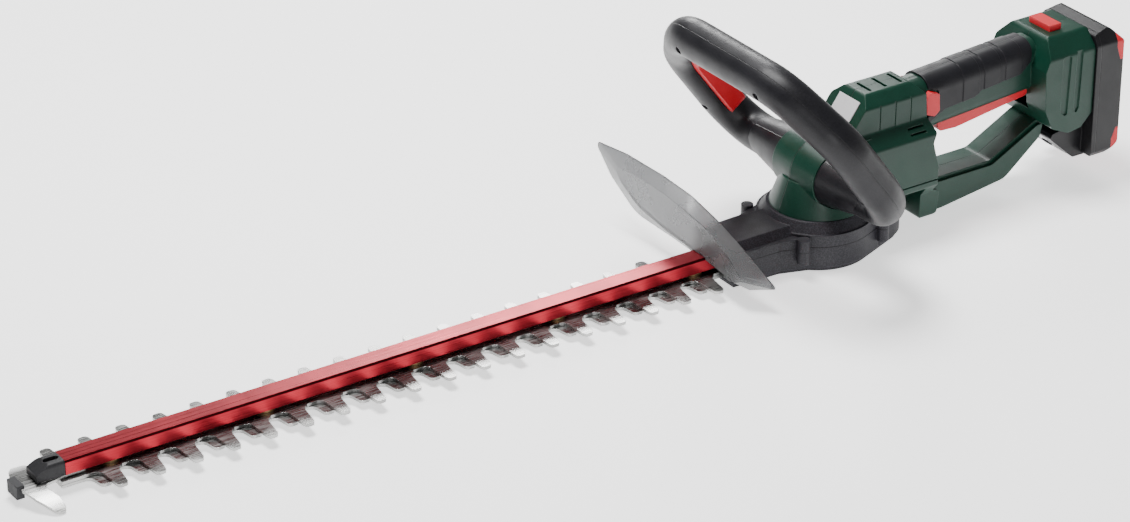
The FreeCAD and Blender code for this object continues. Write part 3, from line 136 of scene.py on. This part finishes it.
# %% Moulded plastic, soft or hard
def moulded(name, colour, light, roughness, grain=0.00004, grain_size=0.0009, edge=0.0009, seam=None,
            seam_colour=(0.004, 0.004, 0.005), edge_highlight_and_wear=0.35, speckle=0.25):
    """Grained plastic. light is the tone that the high grains and the edges go towards; on the edges that is
    partly polish and partly a painted highlight.
    """
    made = Finish(name)
    rounded, on_edge = made.edges(edge)
    grains = made.noise(1.0 / grain_size, 2.0)
    drift = made.noise(14.0, 4.0)
    tone = made.sum("ADD", made.ramp(grains, 0.42, 0.68, 0.0, speckle),
                    made.ramp(drift, 0.3, 0.75, 0.0, 0.22))
    # painted highlight: the edges are pushed towards the light tone, partly polish from handling and partly a
    # painted highlight
    tone = made.sum("ADD", tone, made.sum("MULTIPLY", on_edge, edge_highlight_and_wear), clamp=True)
    paint = made.blend(tone, colour, light)
    height = grains
    if seam is not None:
        normal, offset, half = seam
        line = made.near_plane(normal, offset, half)
        paint = made.blend(line, paint, seam_colour)
        height = made.sum("SUBTRACT", grains, made.sum("MULTIPLY", line, 4.0))
    made.link(paint, made.shader.inputs["Base Color"])
    smear = made.noise(60.0, 3.0)
    shine = made.sum("ADD", made.ramp(smear, 0.3, 0.7, roughness - 0.06, roughness + 0.08),
                     made.ramp(grains, 0.3, 0.7, -0.03, 0.05))
    made.link(shine, made.shader.inputs["Roughness"])
    made.link(made.bump(height, grain, 0.9, rounded), made.shader.inputs["Normal"])
    made.shader.inputs["Specular IOR Level"].default_value = 0.32
    return made.material


LOOP_LEAN = math.radians(37.0)
HUB_HEIGHT = 0.070
loop_normal = (math.cos(LOOP_LEAN), 0.0, math.sin(LOOP_LEAN))
loop_offset = HUB_HEIGHT * math.sin(LOOP_LEAN)

green_shell = moulded("green moulded shell", (0.0006, 0.021, 0.012), (0.008, 0.070, 0.042), 0.36,
                      grain=0.00002,
                      seam=((0, 1, 0), 0.0, 0.00035), edge_highlight_and_wear=0.30, speckle=0.16)
gear_case_skin = moulded("spark-eroded gear case", (0.008, 0.0077, 0.0105), (0.050, 0.048, 0.060), 0.48,
                         grain=0.000025, grain_size=0.0010, seam=((0, 0, 1), 0.022, 0.0004), speckle=0.55)
loop_skin = moulded("grained loop handle", (0.0028, 0.0027, 0.0038), (0.018, 0.017, 0.023), 0.40,
                    grain=0.00002, grain_size=0.0008, seam=(loop_normal, loop_offset, 0.00035), speckle=0.35)
soft_grip = moulded("soft rubber grip", (0.0026, 0.0026, 0.0042), (0.016, 0.0155, 0.021), 0.46,
                    grain=0.00002, grain_size=0.0008, seam=((0, 1, 0), 0.0, 0.0003), speckle=0.3)
pack_skin = moulded("battery case", (0.0026, 0.0026, 0.0034), (0.016, 0.0155, 0.019), 0.38,
                    grain=0.00002, grain_size=0.0009, seam=((1, 0, 0), 0.263, 0.0004))
red_key = moulded("red moulded key", (0.50, 0.006, 0.014), (0.78, 0.060, 0.072), 0.34,
                  grain=0.00002, grain_size=0.0009, edge_highlight_and_wear=0.5, speckle=0.1, edge=0.0012)
black_nose = moulded("black tip moulding", (0.005, 0.005, 0.006), (0.035, 0.034, 0.039), 0.48)
bumper_rubber = moulded("bumper rubber", (0.02, 0.02, 0.022), (0.07, 0.07, 0.075), 0.7, grain=0.00008)
print("plastics made")

# %% [markdown]
# ## Metal
# Ground steel shows fine straight scratches along the way the wheel passed, and its edges are painted
# brighter, partly as a painted highlight and partly as rubbed metal.
# The anodised bar was brushed lengthways first, so its streaks are very long and very thin.
# A noise that is squeezed across the length and drawn out along it makes both.

# %% Metal with a lay
def worked_metal(name, colour, bright, roughness, lay=(8.0, 900.0, 900.0), streak=0.00001, edge=0.0003,
                 metallic=1.0,
                 clouds=0.3, cloud_size=18.0):
    """Metal whose marks run one way. lay says how squeezed the marks are along each axis."""
    made = Finish(name)
    rounded, on_edge = made.edges(edge)
    marks = made.noise(1.0, 4.0, made.stretched(lay))
    cloud = made.noise(cloud_size, 3.0)
    tone = made.sum("ADD", made.ramp(marks, 0.3, 0.7, 0.0, 0.5), made.ramp(cloud, 0.35, 0.7, 0.0, clouds))
    # painted highlight: the edges are lifted towards the bright tone, partly a painted highlight and partly
    # rubbed metal
    tone = made.sum("ADD", tone, made.sum("MULTIPLY", on_edge, 0.5), clamp=True)
    made.link(made.blend(tone, colour, bright), made.shader.inputs["Base Color"])
    shine = made.sum("ADD", made.ramp(marks, 0.3, 0.7, roughness - 0.07, roughness + 0.09),
                     made.ramp(cloud, 0.3, 0.7, -0.04, 0.06))
    made.link(shine, made.shader.inputs["Roughness"])
    made.shader.inputs["Metallic"].default_value = metallic
    made.link(made.bump(marks, streak, 0.6, rounded), made.shader.inputs["Normal"])
    return made.material


blade_steel = worked_metal("ground blade steel", (0.22, 0.22, 0.215), (0.52, 0.52, 0.51), 0.26,
                           lay=(60.0, 900.0, 900.0), clouds=0.5, cloud_size=40.0)


def anodised_bar():
    """Brushed and dyed aluminium, with a painted shade darkening a band along its two long top edges."""
    made = Finish("red anodised bar")
    rounded, on_edge = made.edges(0.0003)
    marks = made.noise(1.0, 4.0, made.stretched((5.0, 1400.0, 1400.0)))
    cloud = made.noise(1.0, 3.0, made.stretched((38.0, 12.0, 12.0)))
    tone = made.sum("ADD", made.ramp(marks, 0.3, 0.7, 0.0, 0.4), made.ramp(cloud, 0.35, 0.7, 0.0, 0.5),
                    clamp=True)
    paint = made.blend(tone, (0.30, 0.010, 0.020), (0.58, 0.035, 0.055))
    # painted shade: a near-black band just under the top face, where the chamfer turns away from the light
    painted_top_edge_shade = made.near_plane((0, 0, 1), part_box("guide_bar")[1].z - 0.00095, 0.0012)
    paint = made.blend(painted_top_edge_shade, paint, (0.045, 0.001, 0.003))
    made.link(paint, made.shader.inputs["Base Color"])
    made.link(made.ramp(marks, 0.3, 0.7, 0.26, 0.42), made.shader.inputs["Roughness"])
    made.shader.inputs["Metallic"].default_value = 0.9
    made.link(made.bump(marks, 0.00001, 0.6, rounded), made.shader.inputs["Normal"])
    return made.material


bar_red = anodised_bar()
zinc = worked_metal("zinc plated steel", (0.40, 0.41, 0.43), (0.68, 0.68, 0.66), 0.34,
                    lay=(300.0, 300.0, 300.0))
motor_steel = worked_metal("rolled motor steel", (0.20, 0.20, 0.21), (0.42, 0.42, 0.42), 0.40,
                           lay=(900.0, 900.0, 30.0))
winding = worked_metal("enamelled copper", (0.42, 0.15, 0.05), (0.75, 0.38, 0.18), 0.35,
                       lay=(900.0, 900.0, 60.0))
cast_tray = worked_metal("cast tray", (0.34, 0.35, 0.36), (0.56, 0.56, 0.57), 0.5, lay=(200.0, 200.0, 200.0))
bush_bronze = worked_metal("sintered bronze", (0.30, 0.18, 0.08), (0.58, 0.40, 0.22), 0.45,
                           lay=(700.0, 700.0, 700.0))
contact_brass = worked_metal("plated contact", (0.55, 0.38, 0.14), (0.85, 0.66, 0.34), 0.25)
nickel_strip = worked_metal("nickel strip", (0.45, 0.43, 0.38), (0.70, 0.68, 0.60), 0.32)
cell_wrap = worked_metal("cell sleeve", (0.01, 0.10, 0.22), (0.03, 0.20, 0.38), 0.35,
                         lay=(40.0, 900.0, 40.0), metallic=0.0)
print("metals made")

# %% [markdown]
# ## The clear guard
# The hand guard is smoky, see-through plastic with a fine texture on its back, so it blurs what is
# behind it. Rough transmission does that; the edges are painted darker, a painted shade standing for the dark
# look of the sheet seen edge-on.

# %% Smoky clear plastic
def smoky_clear():
    made = Finish("smoky clear guard")
    rounded, on_edge = made.edges(0.0008)
    haze = made.noise(30.0, 4.0)
    fine = made.noise(700.0, 2.0)
    tone = made.sum("ADD", made.ramp(haze, 0.3, 0.7, 0.0, 0.4), made.ramp(fine, 0.4, 0.6, 0.0, 0.15))
    paint = made.blend(tone, (0.20, 0.203, 0.208), (0.30, 0.304, 0.31))
    # painted shade: the edges go to a near-black grey
    made.link(made.blend(on_edge, paint, (0.06, 0.062, 0.066)), made.shader.inputs["Base Color"])
    made.link(made.ramp(haze, 0.3, 0.7, 0.22, 0.36), made.shader.inputs["Roughness"])
    made.shader.inputs["Transmission Weight"].default_value = 0.62
    made.shader.inputs["IOR"].default_value = 1.30
    made.link(made.bump(fine, 0.00003, 0.6, rounded), made.shader.inputs["Normal"])
    return made.material


guard_clear = smoky_clear()
lens_grey = moulded("grey gauge lens", (0.06, 0.06, 0.07), (0.16, 0.16, 0.17), 0.2, grain=0.000005)
lead_red = moulded("red wire skin", (0.28, 0.01, 0.01), (0.45, 0.04, 0.04), 0.45, grain=0.00001)
lead_black = moulded("black wire skin", (0.01, 0.01, 0.01), (0.05, 0.05, 0.05), 0.45, grain=0.00001)
badge_face = moulded("blank badge", (0.50, 0.51, 0.52), (0.72, 0.72, 0.72), 0.3, grain=0.00001, speckle=0.05)
print("clear and small finishes made")

# %% [markdown]
# ## Which part wears which finish
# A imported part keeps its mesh. Its finish is changed by putting another material in its slot.

# %% Hand out the finishes
finishes = {
    blade_steel: ["upper_blade", "lower_blade", "tip_guard"],
    bar_red: ["guide_bar"],
    black_nose: ["tip_cap", "motor_fan", "main_switch", "terminal_block", "loop_switches"],
    bumper_rubber: ["tip_bumper", "gauge_button"],
    gear_case_skin: ["gear_case_lower", "gear_case_upper"],
    green_shell: ["left_housing", "right_housing"],
    soft_grip: ["left_grip", "right_grip"],
    loop_skin: ["loop_front_shell", "loop_rear_shell"],
    red_key: ["trigger", "lock_button", "release_button", "switch_bar", "pack_trim"],
    pack_skin: ["pack_base", "pack_case"],
    guard_clear: ["hand_guard"],
    badge_face: ["name_plate"],
    lens_grey: ["gauge_lens"],
    lead_red: ["motor_leads"],
    lead_black: ["pack_leads"],
    cast_tray: ["control_board"],
    winding: ["motor_stator"],
    motor_steel: ["motor_can", "motor_rotor", "drive_gear"],
    bush_bronze: ["blade_bushes"],
    contact_brass: ["pack_contacts"],
    nickel_strip: ["cell_links"],
    cell_wrap: ["pack_cells"],
    zinc: ["blade_bolts", "blade_washers", "tip_screw", "gear_case_screws", "gear_bearings", "motor_bearings",
           "housing_screws", "trigger_pin", "trigger_spring", "release_spring", "pack_screws", "loop_screws",
           "hub_bolt", "hub_nut", "hand_guard_screws"],
}
for material, names in finishes.items():
    for name in names:
        nodes[name].data.materials.clear()
        nodes[name].data.materials.append(material)
bare = sorted(set(nodes) - {name for names in finishes.values() for name in names})
print("finished", len(nodes) - len(bare), "nodes, bare:", bare)

# %% [markdown]
# ## Floor, light and camera
# A pale sheet, large soft lamps and a bright surround give the even light of a catalogue picture.
# The camera stands low to the front left, far away with a long lens, so the bar hardly tapers.

# %% Floor
def pale_sheet():
    shape = bmesh.new()
    bmesh.ops.create_grid(shape, x_segments=1, y_segments=1, size=6.0)
    mesh = bpy.data.meshes.new("floor")
    shape.to_mesh(mesh)
    shape.free()
    made = Finish("pale floor")
    made.link(made.blend(made.noise(3.0), (0.86, 0.86, 0.86), (0.90, 0.90, 0.90)),
              made.shader.inputs["Base Color"])
    made.shader.inputs["Roughness"].default_value = 0.8
    made.shader.inputs["Emission Color"].default_value = (1.0, 1.0, 1.0, 1.0)
    made.shader.inputs["Emission Strength"].default_value = 1.15
    mesh.materials.append(made.material)
    sheet = bpy.data.objects.new("floor", mesh)
    bpy.context.scene.collection.objects.link(sheet)
    return sheet


pale_sheet()

# %% Lamps and surround
middle = Vector((-0.2, 0.0, 0.07))


def soft_lamp(name, place, size, power):
    data = bpy.data.lights.new(name, "AREA")
    data.shape = "DISK"
    data.size = size
    data.energy = power
    lamp = bpy.data.objects.new(name, data)
    lamp.location = place
    lamp.rotation_euler = (middle - Vector(place)).to_track_quat("-Z", "Y").to_euler()
    bpy.context.scene.collection.objects.link(lamp)


soft_lamp("key from above", (-0.3, 0.5, 1.8), 0.8, 62.0)
soft_lamp("rim from behind", (0.9, 1.7, 1.0), 0.7, 24.0)
soft_lamp("side from the left", (-0.9, -1.7, 0.5), 0.5, 6.0)
world = bpy.data.worlds.new("white surround")
world.use_nodes = True
world.node_tree.nodes["Background"].inputs["Color"].default_value = (1.0, 1.0, 1.0, 1.0)
world.node_tree.nodes["Background"].inputs["Strength"].default_value = 0.30
bpy.context.scene.world = world

# %% Camera
CAMERA_PLACE = Vector((-1.71059, -2.19408, 1.43973))
CAMERA_AIM = Vector((0.4926, 0.7360, -0.4644))
camera_data = bpy.data.cameras.new("camera")
camera_data.sensor_width = 36.0
camera_data.lens = 123.29
camera = bpy.data.objects.new("camera", camera_data)
camera.location = CAMERA_PLACE
camera.rotation_euler = CAMERA_AIM.to_track_quat("-Z", "Y").to_euler()
bpy.context.scene.collection.objects.link(camera)
bpy.context.scene.camera = camera
print("camera at", [round(v, 3) for v in CAMERA_PLACE])
